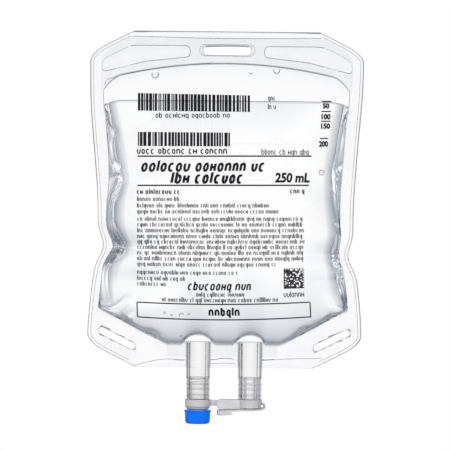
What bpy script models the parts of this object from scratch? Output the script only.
"""A flexible bag of infusion fluid, hanging from the slot in its top weld, with two ports below.

X runs to the right as the bag is read, Y away from the reader and Z up. The origin is the centre of
the hanger slot. Sizes are in metres, each written as millimetres times MM.
"""

import math

import bmesh
import bpy
from mathutils import Matrix, Vector

MM = 0.001

# Running gap between pieces that touch on the real bag
GAP = 0.3 * MM

# Outline of the two films
BAG_WIDTH = 130.8 * MM
SLOT_BELOW_TOP = 9.1 * MM
FILM_HEIGHT = 160.5 * MM
TOP_CHAMFER_RUN = 21.2 * MM
BOTTOM_CHAMFER_RUN = 23.1 * MM
CHAMFER_ANGLE = math.radians(26.6)
CHAMFER_BLEND = 9.0 * MM
FILM_THICKNESS = 0.3 * MM
WELD_GAP = 0.1 * MM

# The filled bag draws its sides in, broadly over its length and sharply at one pinch each side
DRAW_IN = 4.4 * MM
DRAW_IN_CENTRE_Z = -80.0 * MM
DRAW_IN_REACH = 60.0 * MM
PINCH = 3.2 * MM
PINCH_HALF_HEIGHT = 7.0 * MM
LEFT_PINCH_Z = -94.0 * MM
RIGHT_PINCH_Z = -98.0 * MM

# Welds round the fluid chamber
SIDE_WELD = 6.5 * MM
TOP_WELD = 15.6 * MM
BOTTOM_WELD = 11.1 * MM
TOP_ARCH_DROP = 8.0 * MM
TOP_CORNER_DROP = 5.0 * MM
TOP_CORNER_START = 0.85
BOTTOM_CORNER_RISE = 18.1 * MM
BOTTOM_FLAT_SHARE = 0.47

# Swell of the filled chamber, from the middle plane to one film
SWELL = 15.8 * MM
SWELL_TOP_POWER = 0.40
SWELL_BOTTOM_POWER = 0.36
SIDE_SLOPE = 1.15
SIDE_POWER_LEAST = 2.0
SIDE_POWER_MOST = 8.0
FLUID_LEVEL_Z = -24.5 * MM
FLUID_CLEARANCE = 0.8 * MM
FLUID_RIM = 0.97

# Dents that run in from the side welds: side, height, reach, half height, depth share, slant
FOLDS = (
    (-1, -60.0 * MM, 13.0 * MM, 6.0 * MM, 0.28, -0.10),
    (1, -58.0 * MM, 12.0 * MM, 6.0 * MM, 0.25, 0.15),
    (-1, LEFT_PINCH_Z, 18.0 * MM, 7.0 * MM, 0.35, 0.20),
    (1, RIGHT_PINCH_Z, 18.0 * MM, 7.0 * MM, 0.35, 0.25),
    (-1, -116.0 * MM, 20.0 * MM, 6.0 * MM, 0.28, -0.35),
    (1, -113.0 * MM, 20.0 * MM, 6.0 * MM, 0.28, -0.30),
)

# Slots through the flat welds
HANGER_SLOT_LENGTH = 23.4 * MM
HANGER_SLOT_HEIGHT = 4.8 * MM
CORNER_SLOT_LENGTH = 19.4 * MM
CORNER_SLOT_HEIGHT = 3.4 * MM
CORNER_SLOT_ALONG = 14.1 * MM
CORNER_SLOT_INSET = 8.0 * MM

# Unwelded pockets beside the hanger slot
POCKET_RISE = 0.4 * MM
POCKET_INNER_X = 17.8 * MM
POCKET_SIDE_WELD = 5.8 * MM
POCKET_TOP_WELD = 7.0 * MM
POCKET_FOOT_WELD = 4.1 * MM
POCKET_CHAMFER_RUN = 13.8 * MM
POCKET_ROUND = 2.0 * MM

# Port tubes, welded between the films
PORT_X = 12.4 * MM
TUBE_RADIUS = 5.75 * MM
TUBE_WALL = 1.25 * MM
TUBE_BELOW_FILM = 14.9 * MM
TUBE_INTO_CHAMBER = 1.3 * MM

# Spouts pushed up into the tubes
SPOUT_WALL = 1.0 * MM
SPOUT_DEPTH = 10.5 * MM
BARB_RISES = (6.9 * MM, 4.6 * MM, 1.6 * MM)
BARB_HEIGHT = 0.5 * MM
BARB_REACH = 0.15 * MM
MEMBRANE_DEPTH = 1.6 * MM
MEMBRANE_THICKNESS = 0.6 * MM
OUTLET_STEP = 0.4 * MM
COLLAR_OVERHANG = 0.15 * MM
COLLAR_TAPER = 1.2 * MM
SPIGOT_STEP = 0.2 * MM
NECK_OVERHANG = 0.35 * MM
SPIGOT_LENGTH = 4.9 * MM
INJECTION_BORE = 2.2 * MM
CUP_WALL = 0.7 * MM
SEPTUM_THICKNESS = 2.8 * MM

# Pull-off cap over the spike port
CAP_WALL = 1.3 * MM
CAP_FLOOR = 1.1 * MM
CAP_ROOM = 0.8 * MM
CAP_LIP = 0.4 * MM
CAP_LIP_HEIGHT = 0.7 * MM
CAP_LIP_TAPER = 0.3 * MM
CAP_ROUND = 0.9 * MM

# Link that ties the two spouts together, with the arm that the lid closes against
RING_OVERHANG = 0.35 * MM
RING_HEIGHT = 3.4 * MM
LINK_HEIGHT = 4.8 * MM
LINK_DEPTH = 7.0 * MM
LINK_CORNER = 1.6 * MM
STRAP_SPAN = 3.1 * MM
STRAP_DEPTH = 1.6 * MM
STRAP_NOTCH = 0.3 * MM
LUG_RADIUS = 1.4 * MM
LUG_THICKNESS = 0.9 * MM

# Hinged lid under the injection port
HINGE_RISE = 1.7 * MM
PIN_RADIUS = 0.45 * MM
LID_TILT = math.radians(2.7)
LID_THICKNESS = 0.9 * MM
LID_DEPTH = 10.4 * MM
LID_CORNER = 2.2 * MM
LID_NECK_LENGTH = 3.0 * MM
LID_EYE_RADIUS = 1.3 * MM
LID_EYE_DEPTH = 5.0 * MM
PLUG_CLEARANCE = 0.8 * MM
PLUG_HEIGHT = 0.7 * MM
GRIP_LENGTH = 7.4 * MM
GRIP_THICKNESS = 1.7 * MM
GRIP_RIB_PITCH = 1.45 * MM
GRIP_RIB_RADIUS = 0.45 * MM
GRIP_RIB_MARGIN = 1.0 * MM

# Fineness of the meshes
HALF_COLUMNS = 10
TOP_ROWS = 5
CHAMBER_ROWS = 34
ROW_CROWDING = 1.4
BOTTOM_ROWS = 4
ROUND_STEPS = 24
CORNER_STEPS = 4

# Places worked out from the sizes above, from the top down
TOP_EDGE_X = BAG_WIDTH / 2 - TOP_CHAMFER_RUN
BOTTOM_EDGE_X = BAG_WIDTH / 2 - BOTTOM_CHAMFER_RUN
TOP_EDGE_Z = SLOT_BELOW_TOP
BOTTOM_EDGE_Z = TOP_EDGE_Z - FILM_HEIGHT
CHAMBER_TOP_Z = TOP_EDGE_Z - TOP_WELD
CHAMBER_BOTTOM_Z = BOTTOM_EDGE_Z + BOTTOM_WELD
TUBE_TOP_Z = CHAMBER_BOTTOM_Z + TUBE_INTO_CHAMBER
TUBE_END_Z = BOTTOM_EDGE_Z - TUBE_BELOW_FILM
SPOUT_TOP_Z = TUBE_END_Z + SPOUT_DEPTH
MEMBRANE_TOP_Z = SPOUT_TOP_Z - MEMBRANE_DEPTH
LINK_TOP_Z = TUBE_END_Z - GAP
LINK_BOTTOM_Z = LINK_TOP_Z - LINK_HEIGHT
COLLAR_TOP_Z = LINK_TOP_Z - RING_HEIGHT - GAP
NECK_Z = COLLAR_TOP_Z - COLLAR_TAPER
SPIGOT_END_Z = NECK_Z - SPIGOT_LENGTH
CAP_TOP_Z = NECK_Z - GAP
CAP_FLOOR_Z = SPIGOT_END_Z - CAP_ROOM

# Radii that follow from the tube's bore
SLEEVE_BORE = TUBE_RADIUS + GAP
TUBE_BORE = TUBE_RADIUS - TUBE_WALL
SPOUT_RADIUS = TUBE_BORE - GAP
SPOUT_BORE = SPOUT_RADIUS - SPOUT_WALL
OUTLET_RADIUS = SPOUT_RADIUS + OUTLET_STEP
SPIGOT_RADIUS = OUTLET_RADIUS - SPIGOT_STEP
NECK_RADIUS = SPIGOT_RADIUS + NECK_OVERHANG
COLLAR_RADIUS = TUBE_RADIUS + COLLAR_OVERHANG
RING_RADIUS = TUBE_RADIUS + RING_OVERHANG
RING_BORE = OUTLET_RADIUS + GAP
CUP_BORE = OUTLET_RADIUS - CUP_WALL
SEPTUM_RADIUS = CUP_BORE - GAP
PLUG_RADIUS = SEPTUM_RADIUS - PLUG_CLEARANCE
CAP_BORE = SPIGOT_RADIUS + GAP
CAP_RADIUS = CAP_BORE + CAP_WALL

# Places along the link and the lid
ARM_END_X = -PORT_X + RING_RADIUS + STRAP_SPAN
HINGE_X = PORT_X + OUTLET_RADIUS + GAP + LID_EYE_RADIUS
HINGE_Z = LINK_BOTTOM_Z + HINGE_RISE
LUG_INNER_Y = LID_EYE_DEPTH / 2 + GAP
LID_TOP_Z = LINK_BOTTOM_Z - GAP

for leftover in list(bpy.data.objects):
    bpy.data.objects.remove(leftover, do_unlink=True)
parts = bpy.data.collections.new("iv_fluid_bag")
cutters = bpy.data.collections.new("cutters")
bpy.context.scene.collection.children.link(parts)
bpy.context.scene.collection.children.link(cutters)


def make_material(name, colour, roughness, transmission=0.0, ior=1.45):
    material = bpy.data.materials.new(name)
    material.use_nodes = True
    shader = material.node_tree.nodes["Principled BSDF"]
    shader.inputs["Base Color"].default_value = (*colour, 1.0)
    shader.inputs["Metallic"].default_value = 0.0
    shader.inputs["Roughness"].default_value = roughness
    shader.inputs["Transmission Weight"].default_value = transmission
    shader.inputs["IOR"].default_value = ior
    material.diffuse_color = (*colour, 1.0)
    return material


def add_object(name, mesh, material=None):
    """A piece of the bag, or with no material a cutter or a shape that is joined to a piece."""
    obj = bpy.data.objects.new(name, mesh)
    if material is None:
        cutters.objects.link(obj)
        obj.hide_render = True
        obj.display_type = "WIRE"
    else:
        parts.objects.link(obj)
        mesh.materials.append(material)
    return obj


def boolean(obj, other, operation):
    modifier = obj.modifiers.new(other.name, "BOOLEAN")
    modifier.operation = operation
    modifier.solver = "EXACT"
    modifier.object = other


def filleted(corners):
    """A closed outline through (x, y, radius) corners, with each corner rounded to its radius."""
    outline = []
    for index, (x, y, radius) in enumerate(corners):
        corner = Vector((x, y))
        before = Vector(corners[index - 1][:2]) - corner
        after = Vector(corners[(index + 1) % len(corners)][:2]) - corner
        if radius <= 0.0:
            outline.append(corner)
            continue
        half_angle = before.angle(after) / 2
        reach = radius / math.tan(half_angle)
        start = corner + before.normalized() * reach
        end = corner + after.normalized() * reach
        inward = (before.normalized() + after.normalized()).normalized()
        centre = corner + inward * (radius / math.sin(half_angle))
        turn = (start - centre).angle_signed(end - centre)
        for step in range(CORNER_STEPS + 1):
            spoke = Matrix.Rotation(-turn * step / CORNER_STEPS, 2) @ (start - centre)
            outline.append(centre + spoke)
    return outline


def stadium(length, height):
    radius = height * 0.499
    x = length / 2
    y = height / 2
    return filleted([(-x, -y, radius), (x, -y, radius), (x, y, radius), (-x, y, radius)])


def slab(name, outline, thickness, material=None):
    """A flat outline in X and Y, as thick as given along Z and centred on the XY plane."""
    curve = bpy.data.curves.new(name, "CURVE")
    curve.dimensions = "2D"
    curve.fill_mode = "BOTH"
    curve.extrude = thickness / 2
    spline = curve.splines.new("POLY")
    spline.points.add(len(outline) - 1)
    for point, place in zip(spline.points, outline):
        point.co = (place.x, place.y, 0.0, 1.0)
    spline.use_cyclic_u = True
    drawn = bpy.data.objects.new(name, curve)
    bpy.context.scene.collection.objects.link(drawn)
    bpy.context.view_layer.update()
    graph = bpy.context.evaluated_depsgraph_get()
    mesh = bpy.data.meshes.new_from_object(drawn.evaluated_get(graph))
    bpy.data.objects.remove(drawn, do_unlink=True)
    bpy.data.curves.remove(curve)
    welded = bmesh.new()
    welded.from_mesh(mesh)
    bmesh.ops.remove_doubles(welded, verts=welded.verts, dist=1e-6)
    bmesh.ops.recalc_face_normals(welded, faces=welded.faces)
    welded.to_mesh(mesh)
    welded.free()
    mesh.name = name
    return add_object(name, mesh, material)


def upright(obj, place=(0.0, 0.0, 0.0), turn=0.0):
    """Stands a slab up in the XZ plane, turned about Y, with its centre at the place given."""
    obj.rotation_euler = (math.pi / 2, turn, 0.0)
    obj.location = place
    return obj


def turned(name, profile, x, material=None, closed=True):
    """A (radius, z) profile, outer side first and downwards, turned about the vertical through x."""
    mesh = bpy.data.meshes.new(name)
    points = [(radius, 0.0, z) for radius, z in profile]
    edges = [(index, index + 1) for index in range(len(points) - 1)]
    if closed:
        edges.append((len(points) - 1, 0))
    mesh.from_pydata(points, edges, [])
    obj = add_object(name, mesh, material)
    obj.location = (x, 0.0, 0.0)
    screw = obj.modifiers.new("turn", "SCREW")
    screw.axis = "Z"
    screw.steps = ROUND_STEPS
    screw.render_steps = ROUND_STEPS
    screw.use_merge_vertices = True
    screw.merge_threshold = 1e-6
    screw.use_smooth_shade = True
    return obj


def cylinder(name, radius, length, material=None):
    """A cylinder along Z, centred on the origin until it is placed."""
    shape = bmesh.new()
    bmesh.ops.create_cone(
        shape, cap_ends=True, segments=ROUND_STEPS, radius1=radius, radius2=radius, depth=length
    )
    mesh = bpy.data.meshes.new(name)
    shape.to_mesh(mesh)
    shape.free()
    return add_object(name, mesh, material)


def standing(name, radius, top, bottom, x, material=None):
    """A vertical cylinder through x on the middle plane, from one height down to another."""
    obj = cylinder(name, radius, top - bottom, material)
    obj.location = (x, 0.0, (top + bottom) / 2)
    return obj


def cross_pin(name, radius, half_length, x, z):
    """A cylinder along Y, centred on the middle plane at x and z."""
    obj = cylinder(name, radius, 2 * half_length)
    obj.rotation_euler = (math.pi / 2, 0.0, 0.0)
    obj.location = (x, 0.0, z)
    return obj


def smooth_least(a, b, blend):
    near = max(blend - abs(a - b), 0.0) / blend
    return min(a, b) - near * near * blend / 4


def side_half_width(side, z):
    away = (z - DRAW_IN_CENTRE_Z) / DRAW_IN_REACH
    broad = DRAW_IN * math.cos(math.pi / 2 * away) ** 2 if abs(away) < 1 else 0.0
    pinch_z = LEFT_PINCH_Z if side < 0 else RIGHT_PINCH_Z
    sharp = PINCH * math.exp(-(((z - pinch_z) / PINCH_HALF_HEIGHT) ** 2))
    return BAG_WIDTH / 2 - broad - sharp


def half_width(side, z):
    """Half the films' width at one height, with the chamfered corners blended in."""
    slope = math.tan(CHAMFER_ANGLE)
    top = TOP_EDGE_X + (TOP_EDGE_Z - z) / slope
    bottom = BOTTOM_EDGE_X + (z - BOTTOM_EDGE_Z) / slope
    width = side_half_width(side, z)
    width = smooth_least(width, top, CHAMFER_BLEND)
    return smooth_least(width, bottom, CHAMFER_BLEND)


def chamber_top(across):
    corner = max(abs(across) - TOP_CORNER_START, 0.0) / (1 - TOP_CORNER_START)
    return CHAMBER_TOP_Z - TOP_ARCH_DROP * across**2 - TOP_CORNER_DROP * corner**2


def chamber_bottom(across):
    rise = max(abs(across) - BOTTOM_FLAT_SHARE, 0.0) / (1 - BOTTOM_FLAT_SHARE)
    return CHAMBER_BOTTOM_Z + BOTTOM_CORNER_RISE * rise


def swell(across, down, reach):
    """Distance from the middle plane to the film, for a share of the way across and down.

    The film leaves the side weld, at a reach from the middle, with much the same slope all the way
    down, so that it is flatter in the middle where the bag is thinner.
    """
    if abs(across) >= 1 or down <= 0 or down >= 1:
        return 0.0
    most = SWELL_TOP_POWER / (SWELL_TOP_POWER + SWELL_BOTTOM_POWER)
    peak = most**SWELL_TOP_POWER * (1 - most) ** SWELL_BOTTOM_POWER
    along = down**SWELL_TOP_POWER * (1 - down) ** SWELL_BOTTOM_POWER / peak
    power = SIDE_SLOPE * reach / (SWELL * along)
    power = min(max(power, SIDE_POWER_LEAST), SIDE_POWER_MOST)
    return SWELL * along * (1 - abs(across) ** power)


def fold_share(side, inward, z):
    """The share of the swell that the dents leave, at a distance in from the side weld."""
    share = 1.0
    for fold_side, fold_z, reach, half_height, depth, slant in FOLDS:
        if fold_side != side or inward >= reach:
            continue
        fade = (1 - inward / reach) ** 2 * (1 + 2 * inward / reach)
        off = (z - fold_z - slant * inward) / half_height
        share *= 1 - depth * fade * math.exp(-off * off)
    return share


def film_point(across, flange, down):
    """(x, distance from the middle plane, z) of a point of the film.

    Across runs from -1 to 1 over the chamber, flange from 0 at its side to 1 at the film's edge, and
    down from -1 at the top edge, by 0 and 1 at the chamber's ends, to 2 at the bottom edge.
    """
    top = chamber_top(across)
    bottom = chamber_bottom(across)
    if down < 0:
        z = top - down * (TOP_EDGE_Z - top)
    elif down <= 1:
        z = top + down * (bottom - top)
    else:
        z = bottom + (down - 1) * (BOTTOM_EDGE_Z - bottom)
    side = -1 if across < 0 else 1
    outer = half_width(side, z)
    inner = outer - SIDE_WELD
    x = side * (abs(across) * inner + flange * (outer - inner))
    depth = swell(across, down, inner) * fold_share(side, inner * (1 - abs(across)), z)
    return x, depth, z


def chamber_column(share):
    """Columns that crowd towards the chamber's sides, where the film turns most."""
    return 0.5 * share + 0.5 * math.sin(math.pi / 2 * share)


def chamber_row(share):
    """Rows that crowd towards the chamber's foot, where the swell ends in a tight round."""
    return 1 - (1 - share) ** ROW_CROWDING


def film_column(share):
    count = HALF_COLUMNS + 1
    step = round((share * 2 - 1) * count)
    side = -1 if step < 0 else 1
    if abs(step) == count:
        return float(side), 1.0
    return side * chamber_column(abs(step) / HALF_COLUMNS), 0.0


def film_row(share):
    step = round(share * (TOP_ROWS + CHAMBER_ROWS + BOTTOM_ROWS))
    if step < TOP_ROWS:
        return step / TOP_ROWS - 1
    if step <= TOP_ROWS + CHAMBER_ROWS:
        return chamber_row((step - TOP_ROWS) / CHAMBER_ROWS)
    return 1 + (step - TOP_ROWS - CHAMBER_ROWS) / BOTTOM_ROWS


def grid_mesh(name, columns, rows, place, facing):
    """A grid moved to where the place function puts its shares across and down, facing along Y."""
    shape = bmesh.new()
    bmesh.ops.create_grid(shape, x_segments=columns, y_segments=rows, size=0.5)
    for vertex in shape.verts:
        vertex.co = place(vertex.co.x + 0.5, vertex.co.y + 0.5)
    bmesh.ops.recalc_face_normals(shape, faces=shape.faces)
    mesh = bpy.data.meshes.new(name)
    shape.to_mesh(mesh)
    shape.free()
    for face in mesh.polygons:
        face.use_smooth = True
    if sum(face.normal.y * face.area for face in mesh.polygons) * facing < 0:
        mesh.flip_normals()
    return mesh


def side_name(side):
    return "left" if side < 0 else "right"


def pocket_outline(side):
    """Outline of one pocket: its outer end follows the chamfer, and its foot the chamber's arch."""
    top = TOP_EDGE_Z - POCKET_TOP_WELD
    outer = BAG_WIDTH / 2 - POCKET_SIDE_WELD
    bend = outer - POCKET_CHAMFER_RUN

    def foot(x):
        across = x / (BAG_WIDTH / 2 - SIDE_WELD)
        return CHAMBER_TOP_Z - TOP_ARCH_DROP * across**2 + POCKET_FOOT_WELD

    shoulder = top - POCKET_CHAMFER_RUN * math.tan(CHAMFER_ANGLE)
    middle = (POCKET_INNER_X + outer) / 2
    rounding = min(POCKET_ROUND, (top - foot(POCKET_INNER_X)) * 0.45)
    end_rounding = min(POCKET_ROUND, (shoulder - foot(outer)) * 0.45)
    corners = [
        (POCKET_INNER_X, top, rounding),
        (bend, top, rounding),
        (outer, shoulder, end_rounding),
        (outer, foot(outer), end_rounding),
        (middle, foot(middle), 0.0),
        (POCKET_INNER_X, foot(POCKET_INNER_X), rounding),
    ]
    return filleted([(side * x, z, radius) for x, z, radius in corners])


def film_openings():
    """Cutters for the hanger slot, the two corner slots and the bores round the port tubes."""
    through = 4 * (WELD_GAP + FILM_THICKNESS)
    slot = slab("hanger_slot_cut", stadium(HANGER_SLOT_LENGTH, HANGER_SLOT_HEIGHT), through)
    openings = [upright(slot)]
    along = Vector((math.cos(CHAMFER_ANGLE), math.sin(CHAMFER_ANGLE)))
    inward = Vector((-along.y, along.x))
    corner = Vector((BOTTOM_EDGE_X, BOTTOM_EDGE_Z))
    centre = corner + along * CORNER_SLOT_ALONG + inward * CORNER_SLOT_INSET
    for side in (-1, 1):
        outline = stadium(CORNER_SLOT_LENGTH, CORNER_SLOT_HEIGHT)
        slot = slab(side_name(side) + "_corner_slot_cut", outline, through)
        openings.append(upright(slot, (side * centre.x, 0.0, centre.y), -side * CHAMFER_ANGLE))
        name = side_name(side) + "_bore_cut"
        bore = standing(name, SLEEVE_BORE, TUBE_TOP_Z + GAP, BOTTOM_EDGE_Z - GAP, side * PORT_X)
        openings.append(bore)
    return openings


def port_sleeve(name, side, facing):
    """The film's half sleeve round one port tube, as an arc-shaped strip extruded along Z."""
    start = math.asin((WELD_GAP / 2 + FILM_THICKNESS / 2) / SLEEVE_BORE)
    steps = ROUND_STEPS // 2
    turns = [start + (math.pi - 2 * start) * step / steps for step in range(steps + 1)]
    outer = SLEEVE_BORE + FILM_THICKNESS
    outline = [Vector((math.cos(turn), facing * math.sin(turn))) * outer for turn in turns]
    for turn in reversed(turns):
        outline.append(Vector((math.cos(turn), facing * math.sin(turn))) * SLEEVE_BORE)
    height = TUBE_TOP_Z + 1.5 * GAP - BOTTOM_EDGE_Z
    sleeve = slab(name, outline, height)
    sleeve.location = (side * PORT_X, 0.0, BOTTOM_EDGE_Z + height / 2)
    return sleeve


def make_film(name, facing, openings, material):
    """One film: a swollen, folded sheet with its flat welds, pockets, slots and port sleeves."""

    def place(across_share, down_share):
        across, flange = film_column(across_share)
        x, depth, z = film_point(across, flange, film_row(down_share))
        return x, facing * (WELD_GAP / 2 + depth), z

    columns = 2 * (HALF_COLUMNS + 1)
    rows = TOP_ROWS + CHAMBER_ROWS + BOTTOM_ROWS
    film = add_object(name, grid_mesh(name, columns, rows, place, facing), material)
    skin = film.modifiers.new("thickness", "SOLIDIFY")
    skin.thickness = FILM_THICKNESS
    skin.offset = 1.0
    rise = POCKET_RISE + FILM_THICKNESS / 2
    middle = WELD_GAP / 2 + FILM_THICKNESS / 2 + rise / 2
    for side in (-1, 1):
        pocket = slab(f"{name}_{side_name(side)}_pocket", pocket_outline(side), rise)
        boolean(film, upright(pocket, (0.0, facing * middle, 0.0)), "UNION")
    for opening in openings:
        boolean(film, opening, "DIFFERENCE")
    for side in (-1, 1):
        sleeve = port_sleeve(f"{name}_{side_name(side)}_sleeve", side, facing)
        boolean(film, sleeve, "UNION")
    return film


def make_fluid(material):
    """The fluid: the chamber's shape up to the fluid level, with the two columns in the tubes."""

    def place(across_share, down_share):
        side = -1 if across_share < 0.5 else 1
        across = side * chamber_column(abs(across_share * 2 - 1)) * FLUID_RIM
        down = 0.5 + (chamber_row(down_share) - 0.5) * FLUID_RIM
        x, depth, z = film_point(across, 0.0, down)
        from_rim = min(across_share, 1 - across_share, down_share, 1 - down_share)
        if from_rim < 0.5 / CHAMBER_ROWS:
            return x, 0.0, z
        return x, -max(depth - FLUID_CLEARANCE, depth / 2), z

    mesh = grid_mesh("saline_fill", 2 * HALF_COLUMNS, CHAMBER_ROWS, place, -1)
    fluid = add_object("saline_fill", mesh, material)
    mirror = fluid.modifiers.new("back", "MIRROR")
    mirror.use_axis = (False, True, False)
    mirror.merge_threshold = 1e-5
    block = bmesh.new()
    bmesh.ops.create_cube(block, size=1.0)
    mesh = bpy.data.meshes.new("air_cut")
    block.to_mesh(mesh)
    block.free()
    air = add_object("air_cut", mesh)
    height = TOP_EDGE_Z - FLUID_LEVEL_Z
    air.scale = (BAG_WIDTH, 3 * SWELL, height)
    air.location = (0.0, 0.0, FLUID_LEVEL_Z + height / 2)
    boolean(fluid, air, "DIFFERENCE")
    column_top = CHAMBER_BOTTOM_Z + 3 * TUBE_INTO_CHAMBER
    for side in (-1, 1):
        name = side_name(side) + "_fluid_column"
        column = standing(name, TUBE_BORE - GAP, column_top, SPOUT_TOP_Z + GAP, side * PORT_X)
        boolean(fluid, column, "UNION")
    return fluid


def make_tube(name, side, material):
    profile = [
        (TUBE_RADIUS, TUBE_TOP_Z),
        (TUBE_RADIUS, TUBE_END_Z),
        (TUBE_BORE, TUBE_END_Z),
        (TUBE_BORE, TUBE_TOP_Z),
    ]
    return turned(name, profile, side * PORT_X, material)


def barrel_profile():
    """Outer side of a spout, from its top, past the barbs in the tube, to its shoulder below it."""
    profile = [(SPOUT_RADIUS, SPOUT_TOP_Z)]
    for rise in BARB_RISES:
        z = TUBE_END_Z + rise
        if z + 2 * BARB_HEIGHT > SPOUT_TOP_Z:
            continue
        profile.append((SPOUT_RADIUS, z + BARB_HEIGHT))
        profile.append((SPOUT_RADIUS + BARB_REACH, z))
        profile.append((SPOUT_RADIUS, z - BARB_HEIGHT / 2))
    profile.append((SPOUT_RADIUS, LINK_TOP_Z))
    profile.append((OUTLET_RADIUS, LINK_TOP_Z))
    return profile


def make_spike_spout(material):
    """The administration spout, with the membrane that the spike goes through moulded in."""
    membrane_foot_z = MEMBRANE_TOP_Z - MEMBRANE_THICKNESS
    profile = [(0.0, MEMBRANE_TOP_Z), (SPOUT_BORE, MEMBRANE_TOP_Z), (SPOUT_BORE, SPOUT_TOP_Z)]
    profile += barrel_profile()
    profile += [
        (OUTLET_RADIUS, COLLAR_TOP_Z),
        (COLLAR_RADIUS, COLLAR_TOP_Z),
        (NECK_RADIUS, NECK_Z),
        (SPIGOT_RADIUS, NECK_Z),
        (SPIGOT_RADIUS, SPIGOT_END_Z),
        (SPOUT_BORE, SPIGOT_END_Z),
        (SPOUT_BORE, membrane_foot_z),
        (0.0, membrane_foot_z),
    ]
    return turned("administration_spout", profile, -PORT_X, material, closed=False)


def link_underside(x):
    """Height of the sloping underside of the link's arm, which the lid lies against."""
    return LINK_BOTTOM_Z + (x - ARM_END_X) * math.tan(LID_TILT)


def plug_top():
    return link_underside(PORT_X) - GAP + PLUG_HEIGHT


def make_injection_spout(material):
    """The injection spout, with a cup at its end that holds the rubber septum over the plug."""
    end = link_underside(PORT_X) + GAP
    seat = plug_top() + GAP + SEPTUM_THICKNESS + GAP
    profile = barrel_profile() + [
        (OUTLET_RADIUS, end),
        (CUP_BORE, end),
        (CUP_BORE, seat),
        (INJECTION_BORE, seat),
        (INJECTION_BORE, SPOUT_TOP_Z),
    ]
    return turned("injection_spout", profile, PORT_X, material)


def make_septum(material):
    bottom = plug_top() + GAP
    return standing(
        "injection_septum", SEPTUM_RADIUS, bottom + SEPTUM_THICKNESS, bottom, PORT_X, material
    )


def make_cap(material):
    """The pull-off cap: a cup with an outer lip at its mouth and a rounded foot."""
    bottom = CAP_FLOOR_Z - CAP_FLOOR
    lip_radius = CAP_RADIUS + CAP_LIP
    lip_z = CAP_TOP_Z - CAP_LIP_HEIGHT
    profile = [
        (0.0, CAP_FLOOR_Z),
        (CAP_BORE, CAP_FLOOR_Z),
        (CAP_BORE, CAP_TOP_Z),
        (lip_radius, CAP_TOP_Z),
        (lip_radius, lip_z),
        (CAP_RADIUS, lip_z - CAP_LIP_TAPER),
    ]
    for step in range(CORNER_STEPS + 1):
        angle = math.pi / 2 * step / CORNER_STEPS
        radius = CAP_RADIUS - CAP_ROUND * (1 - math.cos(angle))
        profile.append((radius, bottom + CAP_ROUND * (1 - math.sin(angle))))
    profile.append((0.0, bottom))
    return turned("spike_port_cap", profile, -PORT_X, material, closed=False)


def hinge_lug(name, facing, ring_foot_z):
    """One of the two lugs that hold the lid's hinge pin, before the room for the eye is cut."""
    top = HINGE_Z + LUG_RADIUS
    foot = HINGE_Z - LUG_RADIUS
    left = PORT_X + RING_BORE / 2
    right = HINGE_X + LUG_RADIUS
    rounding = LUG_RADIUS * 0.95
    outline = filleted(
        [
            (left, ring_foot_z + GAP, 0.0),
            (HINGE_X - LUG_RADIUS, ring_foot_z + GAP, 0.0),
            (HINGE_X - LUG_RADIUS / 2, foot, 0.0),
            (right, foot, rounding),
            (right, top, rounding),
            (left, top, 0.0),
        ]
    )
    inner = LUG_INNER_Y - GAP / 2
    outer = LUG_INNER_Y + LUG_THICKNESS
    lug = slab(name, outline, outer - inner)
    return upright(lug, (0.0, facing * (inner + outer) / 2, 0.0))


def make_link(material):
    """One moulding: a ring round each spout, the arm and strap between them and the hinge lugs."""
    arm_outline = filleted(
        [
            (ARM_END_X, LINK_TOP_Z, LINK_CORNER),
            (PORT_X, LINK_TOP_Z, 0.0),
            (PORT_X, link_underside(PORT_X), 0.0),
            (ARM_END_X, LINK_BOTTOM_Z, LINK_CORNER),
        ]
    )
    link = upright(slab("port_link", arm_outline, LINK_DEPTH, material))
    foot = link_underside(PORT_X + COLLAR_RADIUS)
    boolean(link, standing("injection_ring", COLLAR_RADIUS, LINK_TOP_Z, foot, PORT_X), "UNION")
    for facing in (-1, 1):
        name = ("front" if facing < 0 else "back") + "_lug"
        boolean(link, hinge_lug(name, facing, foot), "UNION")
    outlet = standing("outlet_cut", RING_BORE, TUBE_END_Z, LINK_BOTTOM_Z - GAP, PORT_X)
    boolean(link, outlet, "DIFFERENCE")
    eye_room = cross_pin("eye_cut", LID_EYE_RADIUS + GAP, LUG_INNER_Y, HINGE_X, HINGE_Z)
    boolean(link, eye_room, "DIFFERENCE")
    pin_reach = LUG_INNER_Y + LUG_THICKNESS + GAP
    boolean(link, cross_pin("pin_cut", PIN_RADIUS + GAP, pin_reach, HINGE_X, HINGE_Z), "DIFFERENCE")

    ring_foot = LINK_TOP_Z - RING_HEIGHT
    middle = -PORT_X + (RING_BORE + RING_RADIUS) / 2
    strap_outline = [
        Vector((middle, LINK_TOP_Z - STRAP_NOTCH)),
        Vector((ARM_END_X + LINK_CORNER, LINK_TOP_Z - STRAP_NOTCH)),
        Vector((ARM_END_X + LINK_CORNER, ring_foot + STRAP_NOTCH)),
        Vector((middle, ring_foot + STRAP_NOTCH)),
    ]
    boolean(link, upright(slab("strap", strap_outline, STRAP_DEPTH)), "UNION")
    ring_profile = [
        (RING_RADIUS, LINK_TOP_Z),
        (RING_RADIUS, ring_foot),
        (RING_BORE, ring_foot),
        (RING_BORE, LINK_TOP_Z),
    ]
    boolean(link, turned("administration_ring", ring_profile, -PORT_X), "UNION")
    return link


def lid_slab(name, outline, thickness, top, material=None):
    """A slab of the lid, with its top face that far below the lid's own top at the arm's end."""
    piece = slab(name, outline, thickness, material)
    piece.rotation_euler = (0.0, -LID_TILT, 0.0)
    piece.location = (ARM_END_X, 0.0, LID_TOP_Z - top - thickness / 2)
    return piece


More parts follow.
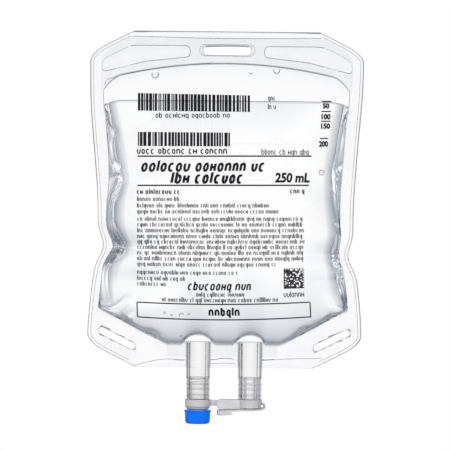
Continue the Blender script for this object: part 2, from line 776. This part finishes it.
def make_lid(material):
    """The hinged lid: a plate with a plug, a ribbed grip, and an eye and pin on the hinge axis."""
    length = HINGE_X - ARM_END_X
    wide = LID_DEPTH / 2
    narrow = LID_EYE_DEPTH / 2
    outline = filleted(
        [
            (0.0, -wide, LID_CORNER),
            (length - LID_NECK_LENGTH, -narrow, 0.0),
            (length, -narrow, 0.0),
            (length, narrow, 0.0),
            (length - LID_NECK_LENGTH, narrow, 0.0),
            (0.0, wide, LID_CORNER),
        ]
    )
    lid = lid_slab("injection_port_lid", outline, LID_THICKNESS, 0.0, material)
    boolean(lid, cross_pin("lid_eye", LID_EYE_RADIUS, narrow, HINGE_X, HINGE_Z), "UNION")
    pin_reach = LUG_INNER_Y + LUG_THICKNESS
    boolean(lid, cross_pin("lid_pin", PIN_RADIUS, pin_reach, HINGE_X, HINGE_Z), "UNION")
    plug_foot = plug_top() - PLUG_HEIGHT - LID_THICKNESS / 2
    boolean(lid, standing("lid_plug", PLUG_RADIUS, plug_top(), plug_foot, PORT_X), "UNION")
    grip_outline = filleted(
        [
            (0.0, -wide, LID_CORNER),
            (GRIP_LENGTH, -wide, 0.0),
            (GRIP_LENGTH, wide, 0.0),
            (0.0, wide, LID_CORNER),
        ]
    )
    grip = lid_slab("lid_grip", grip_outline, GRIP_THICKNESS, LID_THICKNESS / 2)
    boolean(lid, grip, "UNION")
    grip_foot = LID_TOP_Z - LID_THICKNESS / 2 - GRIP_THICKNESS
    for index in range(int(GRIP_LENGTH / GRIP_RIB_PITCH)):
        along = GRIP_RIB_PITCH * (index + 0.5)
        z = grip_foot + along * math.tan(LID_TILT)
        name = f"lid_rib_{index + 1}"
        rib = cross_pin(name, GRIP_RIB_RADIUS, wide - GRIP_RIB_MARGIN, ARM_END_X + along, z)
        boolean(lid, rib, "UNION")
    return lid


def build():
    film = make_material("clear_film", (0.93, 0.94, 0.96), 0.12, 0.9)
    fluid = make_material("clear_fluid", (0.90, 0.93, 0.95), 0.02, 1.0, 1.33)
    tubing = make_material("clear_tubing", (0.88, 0.89, 0.90), 0.2, 0.8)
    moulding = make_material("natural_moulding", (0.84, 0.84, 0.84), 0.3, 0.5)
    rubber = make_material("septum_rubber", (0.72, 0.70, 0.66), 0.6)
    blue = make_material("blue_cap", (0.005, 0.17, 0.93), 0.35)
    openings = film_openings()
    make_film("front_film", -1, openings, film)
    make_film("back_film", 1, openings, film)
    make_fluid(fluid)
    make_tube("administration_tube", -1, tubing)
    make_tube("injection_tube", 1, tubing)
    make_spike_spout(moulding)
    make_injection_spout(moulding)
    make_septum(rubber)
    make_cap(blue)
    make_link(moulding)
    make_lid(moulding)


build()
